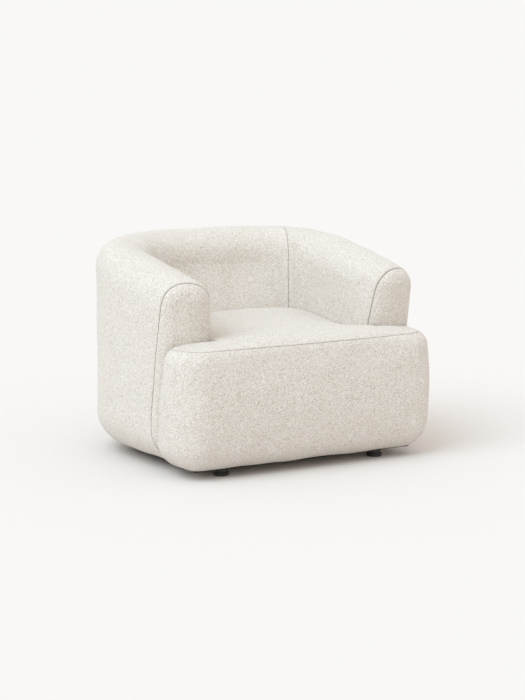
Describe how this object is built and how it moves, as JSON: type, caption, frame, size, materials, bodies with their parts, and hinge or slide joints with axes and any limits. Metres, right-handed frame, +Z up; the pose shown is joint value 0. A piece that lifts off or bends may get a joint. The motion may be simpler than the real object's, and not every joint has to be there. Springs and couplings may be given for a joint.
{
  "type": "upholstered armchair",
  "caption": "Low padded tub armchair: a U-shaped shell of back and sloping arms behind a fixed T-shaped seat block, on low round glides.",
  "frame": {"origin": "on the floor, under the middle of the chair's box", "axes": "+Z up, the sitter faces -Y, +X is the sitter's left and the chair's width"},
  "size_m": [0.97, 0.9, 0.7199],
  "materials": {
    "boucle": "looped cream boucle",
    "dust_cloth": "black non-woven cloth",
    "foam": "open-cell foam",
    "wadding": "polyester wadding",
    "felt": "needled felt",
    "webbing": "elastic webbing",
    "spring_steel": "drawn wire",
    "screw_steel": "zinc plated",
    "foot_plastic": "fine moulded grain",
    "fibreboard": "hardboard",
    "plywood": "birch ply",
    "timber": "planed pine"
  },
  "bodies": {
    "root": {"arm_cap_cover_left": "boucle", "arm_cap_cover_right": "boucle", "arm_former_left": "plywood", "arm_former_right": "plywood", "arm_front_foam_left": "foam", "arm_front_foam_right": "foam", "arm_front_former_left": "plywood", "arm_front_former_right": "plywood", "arm_inner_panel_left": "fibreboard", "arm_inner_panel_right": "fibreboard", "arm_mid_rail_left": "timber", "arm_mid_rail_right": "timber", "arm_pad_foam_left": "foam", "arm_pad_foam_right": "foam", "arm_roll_foam_left": "foam", "arm_roll_foam_right": "foam", "arm_top_rail_left": "timber", "arm_top_rail_right": "timber", "back_cover": "boucle", "back_former_left": "plywood", "back_former_right": "plywood", "back_liner": "fibreboard", "back_mid_rail": "timber", "back_pad_foam": "foam", "back_roll_foam": "foam", "back_top_rail": "timber", "back_wadding": "wadding", "back_webbing": "webbing", "base_panel": "plywood", "corner_block_screws": "screw_steel", "corner_blocks": "timber", "corner_former_left": "plywood", "corner_former_right": "plywood", "dust_cover": "dust_cloth", "foot_front_left": "foot_plastic", "foot_front_right": "foot_plastic", "foot_rear_left": "foot_plastic", "foot_rear_right": "foot_plastic", "foot_screws": "screw_steel", "front_foam": "foam", "front_panel": "plywood", "seat_foam_core": "foam", "seat_front_cover": "boucle", "seat_front_rail": "timber", "seat_rear_rail": "timber", "seat_side_rail_left": "timber", "seat_side_rail_right": "timber", "seat_springs": "spring_steel", "seat_top_cover": "boucle", "seat_topper": "foam", "side_cover_left": "boucle", "side_cover_right": "boucle", "side_liner_left": "fibreboard", "side_liner_right": "fibreboard", "side_wadding_left": "wadding", "side_wadding_right": "wadding", "spring_clips": "spring_steel", "spring_felt": "felt", "wing_panel_left": "plywood", "wing_panel_right": "plywood"}
  },
  "joints": []
}
